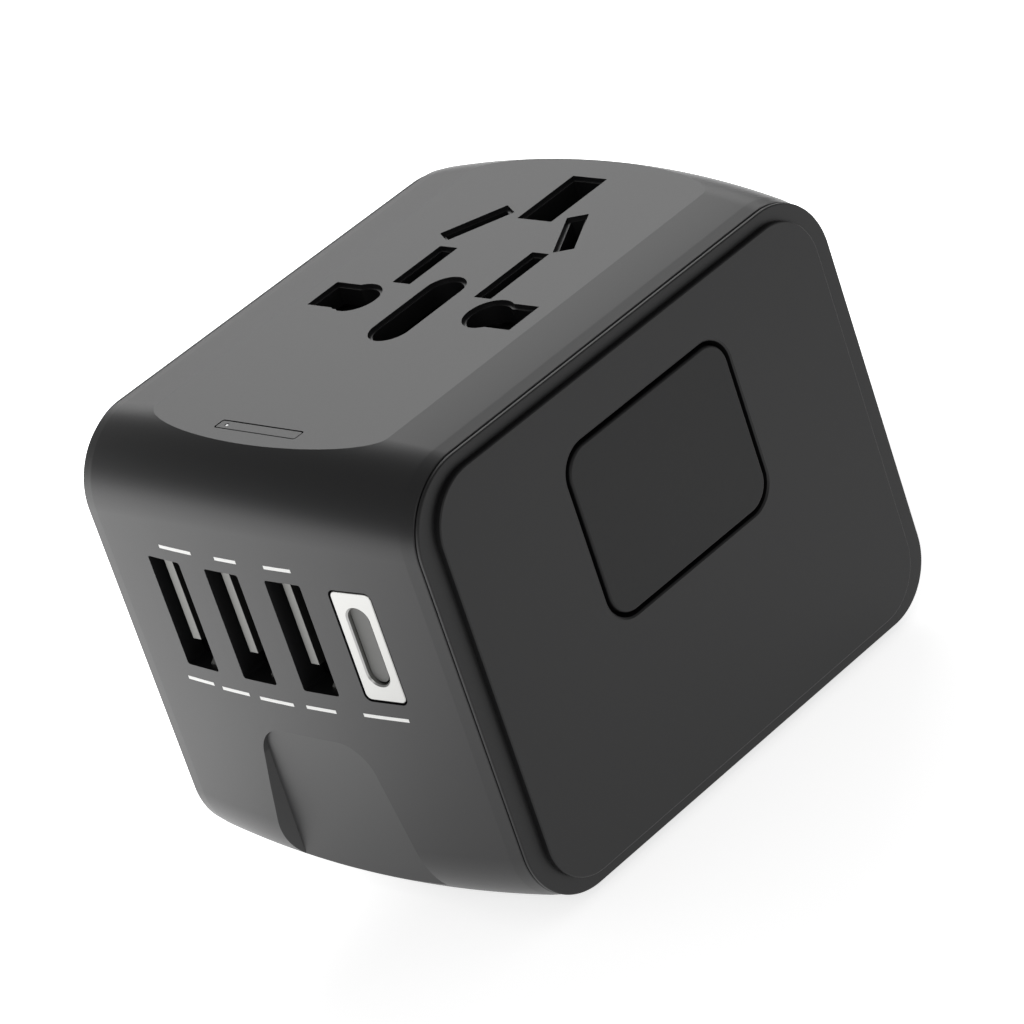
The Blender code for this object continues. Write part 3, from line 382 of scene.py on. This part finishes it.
# Side caps. Each is one moulding that closes an end of the sleeve: a narrow rim outside, and a raised
# plate that runs on inwards as the plug. The right one is open for the release button, the left one
# carries the three slider tracks and four screws.
CAP_X = 24.22 * MM
ISLAND_X = 25.35 * MM
ISLAND_HALF_Y = 29.42 * MM
ISLAND_HALF_Z = 23.5 * MM
ISLAND_CORNER = 6.1 * MM
CAP_INNER_X = 22.1 * MM
BUTTON_Y = 0.7 * MM
BUTTON_Z = 33.65 * MM
BUTTON_HALF_Y = 12.3 * MM
BUTTON_HALF_Z = 9.55 * MM
BUTTON_CORNER = 3.0 * MM
BUTTON_GAP = 0.5 * MM
LIP = 0.16 * MM
# The caps' ABS is a shade darker and less glossy than the sleeve's.
abs_cap = grain(
    material("black_abs_fine_grain", "#0E0E0F", 0.47, IOR=1.5, Specular_IOR_Level=0.42),
    0.25 * MM, 0.08, 0.02 * MM, 0.02)


def flare(tool, half_a, half_b, centre, axis, surface, outward=1):
    """Widens the outer end of a cutting tool, which softens the edge at the surface."""
    index = "XYZ".index(axis)
    select(tool, "FACE", lambda face: outward * face.normal[index] > 0.99)
    bpy.ops.mesh.extrude_region_move()
    shift = [0.0, 0.0, 0.0]
    shift[index] = outward * LIP
    bpy.ops.transform.translate(value=shift)
    grow = [1.0, 1.0, 1.0]
    middle = [0.0, 0.0, 0.0]
    middle[index] = surface
    across = [place for place in range(3) if place != index]
    for place, half, at in zip(across, (half_a, half_b), centre):
        grow[place] = 1 + LIP / half
        middle[place] = at
    bpy.ops.transform.resize(value=grow, center_override=middle)
    bpy.ops.mesh.extrude_region_move()
    shift[index] = outward * 2 * MM
    bpy.ops.transform.translate(value=shift)
    close_edit(tool)


def side_cap(name, side, inset_y=0.0, inset_z=0.0):
    """The cap's rim and its raised plate, joined."""
    cap = block(
        name, (min(side * CAP_X, side * RIM_X), inset_y - END_HALF_Y, MID_Z + inset_z - END_HALF_Z),
        (max(side * CAP_X, side * RIM_X), END_HALF_Y - inset_y, MID_Z + END_HALF_Z - inset_z))
    round_case(cap)
    select(cap, "FACE", lambda face: side * face.normal.x > 0.9)
    bpy.ops.mesh.bevel(offset=0.15 * MM, segments=3, affect="EDGES")
    close_edit(cap)
    plate = block(
        "plate", (min(side * CAP_INNER_X, side * ISLAND_X), -ISLAND_HALF_Y, MID_Z - ISLAND_HALF_Z),
        (max(side * CAP_INNER_X, side * ISLAND_X), ISLAND_HALF_Y, MID_Z + ISLAND_HALF_Z))
    round_edges(plate, "X", ISLAND_CORNER, CORNER_STEPS)
    select(plate, "FACE", lambda face: side * face.normal.x > 0.9)
    bpy.ops.mesh.bevel(offset=0.2 * MM, segments=4, affect="EDGES")
    close_edit(plate)
    boolean(cap, plate, "UNION")
    cap.data.materials.append(abs_cap)
    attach(cap, "housing")
    return cap


right_cap = side_cap("right_cap", 1)
half_y, half_z = BUTTON_HALF_Y + BUTTON_GAP, BUTTON_HALF_Z + BUTTON_GAP
tool = block(
    "button_hole", (ISLAND_X - 5 * MM, BUTTON_Y - half_y, BUTTON_Z - half_z),
    (ISLAND_X - LIP, BUTTON_Y + half_y, BUTTON_Z + half_z))
round_edges(tool, "X", BUTTON_CORNER + BUTTON_GAP, 24)
flare(tool, half_y, half_z, (BUTTON_Y, BUTTON_Z), "X", ISLAND_X)
boolean(right_cap, tool)
smooth(right_cap, math.radians(12))
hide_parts("right_side_cap")

left_cap = side_cap("left_cap", -1, 0.75 * MM, 0.1 * MM)
KNOBS = ("uk_slider", "eu_slider", "us_slider")
STROKE = 23.1 * MM
TRACK_GAP = 0.3 * MM
STEM_HALF = 1.2 * MM
for knob in KNOBS:
    knob_low, knob_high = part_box(knob)
    tool = block(
        "track", (-ISLAND_X - MM, knob_low.y - TRACK_GAP, knob_low.z - STROKE - TRACK_GAP),
        (-ISLAND_X + 1.6 * MM, knob_high.y + TRACK_GAP, knob_high.z + TRACK_GAP))
    round_edges(tool, "X", 0.8 * MM, 8)
    boolean(left_cap, tool)
    middle_y = (knob_low.y + knob_high.y) / 2
    tool = block(
        "stem_slot",
        (-ISLAND_X - MM, middle_y - STEM_HALF - TRACK_GAP, knob_low.z - STROKE - 0.1 * MM),
        (-ISLAND_X + 6 * MM, middle_y + STEM_HALF + TRACK_GAP, knob_low.z + 2.8 * MM))
    boolean(left_cap, tool)
for number in range(1, 5):
    screw_low, screw_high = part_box(f"cap_screw_{number}")
    centre = (screw_low + screw_high) / 2
    boolean(left_cap, rod("head_seat", (-ISLAND_X, centre.y, centre.z), "X", 3.6 * MM, 2.3 * MM, 48))
    boolean(left_cap, rod("shank_hole", (-ISLAND_X, centre.y, centre.z), "X", 12 * MM, 1.25 * MM, 32))
smooth(left_cap, math.radians(12))
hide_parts("left_side_cap")

# Release button. Moulded in black ABS with a smoother, duller face than the caps. It stands in the
# right cap's opening, and a flange behind the plate keeps it there.
BUTTON_DEPTH = 3.2 * MM
abs_button = grain(
    material("black_abs_fine_matt", "#0C0C0D", 0.5, IOR=1.5, Specular_IOR_Level=0.34),
    0.35 * MM, 0.10, 0.02 * MM, 0.03)
button_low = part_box("release_button")[0]
button = block(
    "release_key", (ISLAND_X - BUTTON_DEPTH, BUTTON_Y - BUTTON_HALF_Y, BUTTON_Z - BUTTON_HALF_Z),
    (ISLAND_X, BUTTON_Y + BUTTON_HALF_Y, BUTTON_Z + BUTTON_HALF_Z))
round_edges(button, "X", BUTTON_CORNER, 24)
select(button, "FACE", lambda face: face.normal.x > 0.9)
bpy.ops.mesh.bevel(offset=0.3 * MM, segments=5, affect="EDGES")
select(button, "FACE", lambda face: face.normal.x < -0.9)
bpy.ops.mesh.extrude_region_move()
bpy.ops.transform.resize(value=(1, 1.12, 1.14), center_override=(0, BUTTON_Y, BUTTON_Z))
bpy.ops.mesh.extrude_region_move()
bpy.ops.transform.translate(value=(button_low.x - ISLAND_X + BUTTON_DEPTH, 0, 0))
close_edit(button)
smooth(button, math.radians(12))
button.data.materials.append(abs_button)
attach(button, "release")
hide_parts("release_button")

# Slider knobs. Small moulded pads in the left cap's tracks, in the button's plastic, with four
# finger grooves across each and a stem that runs in to the carriage.
GROOVES = 4
for knob in KNOBS:
    knob_low, knob_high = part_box(knob)
    pad_back = -ISLAND_X + 1.3 * MM
    pad = block(knob + "_pad", knob_low, (pad_back, knob_high.y, knob_high.z))
    round_edges(pad, "X", 0.7 * MM, 6)
    select(pad, "FACE", lambda face: face.normal.x < -0.9)
    bpy.ops.mesh.bevel(offset=0.2 * MM, segments=3, affect="EDGES")
    close_edit(pad)
    middle_y = (knob_low.y + knob_high.y) / 2
    for step in range(GROOVES):
        groove_z = knob_low.z + (1.5 + step) * (knob_high.z - knob_low.z) / (GROOVES + 2)
        boolean(pad, rod(
            "groove", (knob_low.x - 0.1 * MM, middle_y, groove_z), "Y", 4.4 * MM, 0.35 * MM, 24))
    boolean(pad, block(
        "stem", (pad_back - 0.3 * MM, middle_y - STEM_HALF, knob_low.z + 0.1 * MM),
        (knob_high.x, middle_y + STEM_HALF, knob_low.z + 2.5 * MM)), "UNION")
    smooth(pad, math.radians(30))
    pad.data.materials.append(abs_button)
    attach(pad, knob[:2] + "_plug")
    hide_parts(knob)

# Light bar. A strip of the case plastic let into the socket face, with the tip of a white light guide
# standing in a pin hole near its left end.
LED_X = -4.65 * MM
bar_y = (bar_low.y + bar_high.y) / 2
bar = block("light_strip", bar_low, (bar_high.x, bar_high.y, HEIGHT - 0.02 * MM))
round_edges(bar, "Z", 0.25 * MM, 6)
boolean(bar, rod("led_hole", (LED_X, bar_y, HEIGHT), "Z", 4 * MM, 0.22 * MM, 32))
select(bar, "FACE", lambda face: face.normal.z > 0.9)
bpy.ops.mesh.bevel(offset=0.05 * MM, segments=2, affect="EDGES")
close_edit(bar)
smooth(bar, math.radians(12))
bar.data.materials.append(abs_case)
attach(bar, "housing")
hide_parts("light_bar")
# White acrylic, glowing weakly as it does when the adapter has power.
lamp_white = material(
    "white_light_guide_acrylic", "#F4F5F6", 0.25, Emission_Color=linear("#FFFFFF"), Emission_Strength=0.6)
lamp = rod("light_guide", (LED_X, bar_y, HEIGHT - 1.2 * MM), "Z", 2.3 * MM, 0.17 * MM, 32)
select(lamp, "FACE", lambda face: face.normal.z > 0.9)
bpy.ops.mesh.bevel(offset=0.08 * MM, segments=4, affect="EDGES")
close_edit(lamp)
smooth(lamp, math.radians(30), weighted=False)
lamp.data.materials.append(lamp_white)
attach(lamp, "housing")
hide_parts("power_led")

# Blade-type charger ports. Each is a moulded black body behind the case wall, with the connector's
# upright tongue faced in nickel silver and a small sprung contact low beside it.
# The bodies are black PBT, and the metal is rolled nickel silver with an uneven satin gloss. Its base colour
# is darkened well below that of nickel silver: painted shade for the inside of the ports.
pbt_black = material("black_pbt_port_body", "#08080A", 0.5)
# Painted shade: the nickel's base colour is made darker to stand in for the shade inside the port mouths.
nickel_satin_port_shade = grain(
    material("nickel_silver_rolled_port_shade", "#737371", 0.4, 1.0), 0.15 * MM, 0.05, 0.01 * MM, 0.04)
MOUTH_GAP = 0.1 * MM
for number, port_x in enumerate(PORT_XS, 1):
    body_low, body_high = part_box(f"usb_a_port_{number}")
    body = block(f"port_body_{number}", body_low, body_high)
    tool = block(
        "mouth",
        (port_x - PORT_HALF_X - MOUTH_GAP, body_low.y - MM, PORT_Z - PORT_HALF_Z - MOUTH_GAP),
        (port_x + PORT_HALF_X + MOUTH_GAP, body_high.y - 0.5 * MM, PORT_Z + PORT_HALF_Z + MOUTH_GAP))
    boolean(body, tool)
    body.data.materials.append(pbt_black)
    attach(body, "housing")
    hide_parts(f"usb_a_port_{number}")
    tongue_front = FRONT_Y + CROWN_Y * (port_x / RIM_X) ** 2 + 1.0 * MM
    tongue = block(
        f"port_tongue_{number}", (port_x - 1.25 * MM, tongue_front, PORT_Z - 3.75 * MM),
        (port_x - 0.05 * MM, body_high.y - 0.4 * MM, PORT_Z + 5.95 * MM))
    select(tongue, "FACE", lambda face: face.normal.y < -0.9)
    bpy.ops.mesh.bevel(offset=0.06 * MM, segments=2, affect="EDGES")
    close_edit(tongue)
    smooth(tongue, math.radians(30))
    tongue.data.materials.append(nickel_satin_port_shade)
    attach(tongue, "housing")
    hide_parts(f"usb_a_tongue_{number}")
    spring = block(
        f"port_spring_{number}", (port_x + 0.55 * MM, FRONT_Y + 1.2 * MM, PORT_Z - PORT_HALF_Z),
        (port_x + 1.75 * MM, FRONT_Y + 3.4 * MM, PORT_Z - PORT_HALF_Z + 0.25 * MM))
    select(spring, "FACE", lambda face: face.normal.z > 0.9)
    bpy.ops.mesh.inset(thickness=0.25 * MM, depth=0)
    bpy.ops.transform.translate(value=(0, 0.5 * MM, 0.75 * MM))
    close_edit(spring)
    smooth(spring, math.radians(20))
    spring.data.materials.append(nickel_satin_port_shade)
    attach(spring, "housing")

# Small reversible charger port. A bright satin bezel fills its opening, a hair below the case's
# surface, round the slot of the connector.
bezel_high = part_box("usb_c_port")[1]
BEZEL_GAP = 0.2 * MM
C_SLOT_HALF_X = 1.4 * MM
C_SLOT_HALF_Z = 4.45 * MM
# Bead-blasted stainless steel: bright, with a soft reflection.
steel_bezel = material("stainless_bead_blasted", "#B4B4B2", 0.3, 1.0)
bezel_front = FRONT_Y + CROWN_Y * (C_PORT_X / RIM_X) ** 2 + 0.06 * MM
bezel = block(
    "c_bezel", (C_PORT_X - C_HALF_X + BEZEL_GAP, bezel_front, PORT_Z - PORT_HALF_Z + BEZEL_GAP),
    (C_PORT_X + C_HALF_X - BEZEL_GAP, bezel_high.y, PORT_Z + PORT_HALF_Z - BEZEL_GAP))
round_edges(bezel, "Y", 0.7 * MM, 10)
select(bezel, "FACE", lambda face: face.normal.y < -0.9)
bpy.ops.mesh.bevel(offset=0.12 * MM, segments=3, affect="EDGES")
close_edit(bezel)
tool = block(
    "c_slot", (C_PORT_X - C_SLOT_HALF_X, bezel_front + LIP, PORT_Z - C_SLOT_HALF_Z),
    (C_PORT_X + C_SLOT_HALF_X, bezel_front + 8 * MM, PORT_Z + C_SLOT_HALF_Z))
round_edges(tool, "Y", 1.39 * MM, 20)
flare(tool, C_SLOT_HALF_X, C_SLOT_HALF_Z, (C_PORT_X, PORT_Z), "Y", bezel_front, -1)
boolean(bezel, tool)
# The bezel is turned to lie along the sleeve's curve.
bezel_pivot = Matrix.Translation((C_PORT_X, bezel_front, 0))
bezel.data.transform(
    bezel_pivot @ Matrix.Rotation(2 * CROWN_Y * C_PORT_X / RIM_X ** 2, 4, "Z") @ bezel_pivot.inverted())
smooth(bezel, math.radians(12))
bezel.data.materials.append(steel_bezel)
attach(bezel, "housing")
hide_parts("usb_c_port")

# The connector's core fills most of the slot, half a millimetre back. It is grey moulded LCP.
core = block(
    "c_core", (C_PORT_X - 1.38 * MM, bezel_front + 0.5 * MM, PORT_Z - 4.3 * MM),
    (C_PORT_X + 1.0 * MM, bezel_high.y - 0.2 * MM, PORT_Z + 4.35 * MM))
round_edges(core, "Y", 1.1 * MM, 16)
smooth(core, math.radians(30))
lcp_grey = grain(material("grey_lcp_moulded", "#6C6C6A", 0.55), 0.2 * MM, 0.1, 0.02 * MM, 0.03)
core.data.materials.append(lcp_grey)
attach(core, "housing")
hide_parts("usb_c_tongue")

# Pad-printed marks by the ports: plain white dashes, three above the ports that are alike, four
# below them and one below the fourth port. They follow the case's curve, and the ink is nearly matt.
# Each row gives a mark's middle, height and half length in millimetres.
ink_white = material("white_pad_print_ink", "#F2F2F0", 0.55)
MARKS = [
    (-10.6, 41.0, 2.5), (-2.9, 41.0, 1.6), (4.6, 41.0, 1.9), (-14.6, 24.6, 2.1), (-9.1, 24.4, 2.1),
    (-2.9, 24.3, 2.5), (3.6, 24.4, 2.1), (12.6, 24.6, 3.0)]
MARK_STEPS = 16
MARK_HALF_Z = 0.2 * MM
INK = 0.012 * MM
for number, (mark_x, mark_z, half) in enumerate(MARKS, 1):
    mark_x, mark_z, half = mark_x * MM, mark_z * MM, half * MM
    mark = block(
        f"print_mark_{number}", (mark_x - half, FRONT_Y - MM, mark_z - MARK_HALF_Z),
        (mark_x + half, FRONT_Y - 0.99 * MM, mark_z + MARK_HALF_Z))
    for step in range(1, MARK_STEPS):
        select(mark, "FACE", lambda face: True)
        bpy.ops.mesh.bisect(
            plane_co=(mark_x + half * (2 * step / MARK_STEPS - 1), 0, 0), plane_no=(1, 0, 0), threshold=WELD)
    select(mark, "VERT", lambda vertex: True)
    shape = bmesh.from_edit_mesh(mark.data)
    for vertex in shape.verts:
        back = vertex.co.y + MM - FRONT_Y
        vertex.co.y = -END_HALF_Y - CROWN_Y * bow(vertex.co.x) - INK + back
    bmesh.update_edit_mesh(mark.data)
    close_edit(mark)
    mark.data.materials.append(ink_white)
    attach(mark, "housing")

# Pins and inner works keep their CAD shapes. The pins are nickel-plated brass, the socket clips plain
# stamped brass, the springs and screws zinc-plated steel, and the carriages and tray black nylon. The
# board has a green solder mask, and its parts wear yellow tape, a black sleeve and white ceramic.
nickel_pin = material("nickel_plate_polished", "#CFCCC4", 0.2, 1.0)
brass_clip = material("brass_stamped", "#B08D4A", 0.35, 1.0)
zinc_steel = material("zinc_plated_steel", "#B9BCC0", 0.32, 1.0)
nylon_dark = material("black_nylon_moulded", "#0C0C0D", 0.55)
board_green = material("green_solder_mask", "#0B3A1E", 0.3)
ferrite_tape = material("yellow_transformer_tape", "#C9A227", 0.45)
can_sleeve = material("black_capacitor_sleeve", "#15171C", 0.35)
fuse_ceramic = material("white_ceramic_fuse", "#E4E0D4", 0.35)
FINISHES = {
    "uk_live_pin": nickel_pin, "uk_neutral_pin": nickel_pin, "uk_earth_pin": nickel_pin,
    "eu_pin_1": nickel_pin, "eu_pin_2": nickel_pin, "us_blade_1": nickel_pin, "us_blade_2": nickel_pin,
    "live_contact": brass_clip, "neutral_contact": brass_clip, "earth_contact": brass_clip,
    "live_blade_contact": brass_clip, "neutral_blade_contact": brass_clip,
    "fuse_clip_1": brass_clip, "fuse_clip_2": brass_clip,
    "release_spring": zinc_steel, "shutter_spring": zinc_steel,
    "cap_screw_1": zinc_steel, "cap_screw_2": zinc_steel, "cap_screw_3": zinc_steel,
    "cap_screw_4": zinc_steel, "contact_tray": nylon_dark, "latch_bar": nylon_dark,
    "uk_carriage": nylon_dark, "eu_carriage": nylon_dark, "us_carriage": nylon_dark,
    "shutter": nylon_dark,
    "charger_board": board_green, "transformer": ferrite_tape, "capacitor_1": can_sleeve,
    "capacitor_2": can_sleeve, "fuse": fuse_ceramic,
}
for name, finish in FINISHES.items():
    nodes[name].data.materials.clear()
    nodes[name].data.materials.append(finish)

# Pin sleeves. A black nylon skin is moulded on the root of each current-carrying pin but the blades,
# just below its carriage.
SLEEVED = {
    "uk_live_pin": "uk_plug", "uk_neutral_pin": "uk_plug", "eu_pin_1": "eu_plug", "eu_pin_2": "eu_plug"}
ROUND_PIN = 2.4 * MM
BORE_GAP = 0.02 * MM
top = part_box("uk_carriage")[0].z - 0.35 * MM
skin = 0.15 * MM
length = 12 * MM
for pin, body in SLEEVED.items():
    pin_low, pin_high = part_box(pin)
    centre = (pin_low + pin_high) / 2
    if body == "uk_plug":
        cover = block(
            pin + "_sleeve", (pin_low.x - skin, pin_low.y - skin, top - length),
            (pin_high.x + skin, pin_high.y + skin, top))
        round_edges(cover, "Z", 0.5 * MM, 6)
        tool = block(
            "bore", (pin_low.x - BORE_GAP, pin_low.y - BORE_GAP, top - length - MM),
            (pin_high.x + BORE_GAP, pin_high.y + BORE_GAP, top + MM))
    else:
        middle = (centre.x, centre.y, top - length / 2)
        cover = rod(pin + "_sleeve", middle, "Z", length, ROUND_PIN + skin)
        tool = rod("bore", middle, "Z", length + 2 * MM, ROUND_PIN + BORE_GAP)
    boolean(cover, tool)
    smooth(cover, math.radians(30))
    cover.data.materials.append(nylon_dark)
    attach(cover, body)

# Studio. A white paper sweep that glows more on the adapter's left, a wide soft box behind on the left
# that the socket face mirrors, a fill lamp above the right front, and a dim white sky.
sweep_white = material("white_paper_sweep", "#F6F6F6", 0.9)
sweep_shader = sweep_white.node_tree.nodes["Principled BSDF"]
sweep_shader.inputs["Emission Color"].default_value = (1, 1, 1, 1)
sweep_shader.inputs["Specular IOR Level"].default_value = 0.0
sweep_tree = sweep_white.node_tree
sweep_place = add_node(sweep_tree, "ShaderNodeTexCoord")
sweep_along = add_node(
    sweep_tree, "ShaderNodeVectorMath", {1: (-1, 0, 0)}, {0: sweep_place.outputs["Object"]},
    operation="DOT_PRODUCT")
sweep_glow = add_node(
    sweep_tree, "ShaderNodeMapRange",
    {"From Min": -0.01, "From Max": 0.055, "To Min": 0.72, "To Max": 1.75},
    {"Value": sweep_along.outputs["Value"]}, interpolation_type="SMOOTHSTEP")
sweep_tree.links.new(sweep_glow.outputs["Result"], sweep_shader.inputs["Emission Strength"])
bpy.ops.mesh.primitive_plane_add(size=8, location=(0, 0, 0))
floor = bpy.context.object
floor.name = "floor"
floor.data.materials.append(sweep_white)

world = bpy.data.worlds.new("studio")
bpy.context.scene.world = world
world.use_nodes = True
world.node_tree.nodes["Background"].inputs["Color"].default_value = (1, 1, 1, 1)
world.node_tree.nodes["Background"].inputs["Strength"].default_value = 0.3
MIDDLE = Vector((0, 0, MID_Z))


def soft_box(name, direction, distance, width, height, radiance):
    """An area lamp that faces the adapter, its power worked out from the brightness of its face."""
    lamp_data = bpy.data.lights.new(name, "AREA")
    lamp_data.shape = "RECTANGLE"
    lamp_data.size = width
    lamp_data.size_y = height
    lamp_data.energy = radiance * math.pi * width * height
    lamp_object = bpy.data.objects.new(name, lamp_data)
    towards = Vector(direction).normalized()
    lamp_object.location = MIDDLE + towards * distance
    lamp_object.rotation_euler = (-towards).to_track_quat("-Z", "Y").to_euler()
    bpy.context.scene.collection.objects.link(lamp_object)
    return lamp_object


soft_box("box_behind_left", (-0.66, 0.60, 0.50), 0.9, 0.6, 0.5, 2.0)
soft_box("fill_front", (0.45, -0.7, 0.5), 1.3, 0.6, 0.6, 1.5)

# Camera. A long lens that looks down from above the right front corner, rolled a little.
CAMERA_AIM = Vector((0.77, 0.34, 26.7)) * MM
CAMERA_LOOK = Vector((-0.694188, 0.571762, -0.437253))
CAMERA_DISTANCE = 0.59
CAMERA_ROLL = math.radians(-18.945)
camera_data = bpy.data.cameras.new("camera")
camera_data.lens = 201.27
camera_data.sensor_width = 36
camera_data.clip_start = 0.01
camera = bpy.data.objects.new("camera", camera_data)
bpy.context.scene.collection.objects.link(camera)
camera.location = CAMERA_AIM - CAMERA_LOOK * CAMERA_DISTANCE
camera.rotation_euler = (
    CAMERA_LOOK.to_track_quat("-Z", "Y") @ Quaternion((0, 0, 1), CAMERA_ROLL)).to_euler()
bpy.context.scene.camera = camera
bpy.context.scene.view_settings.view_transform = "Standard"
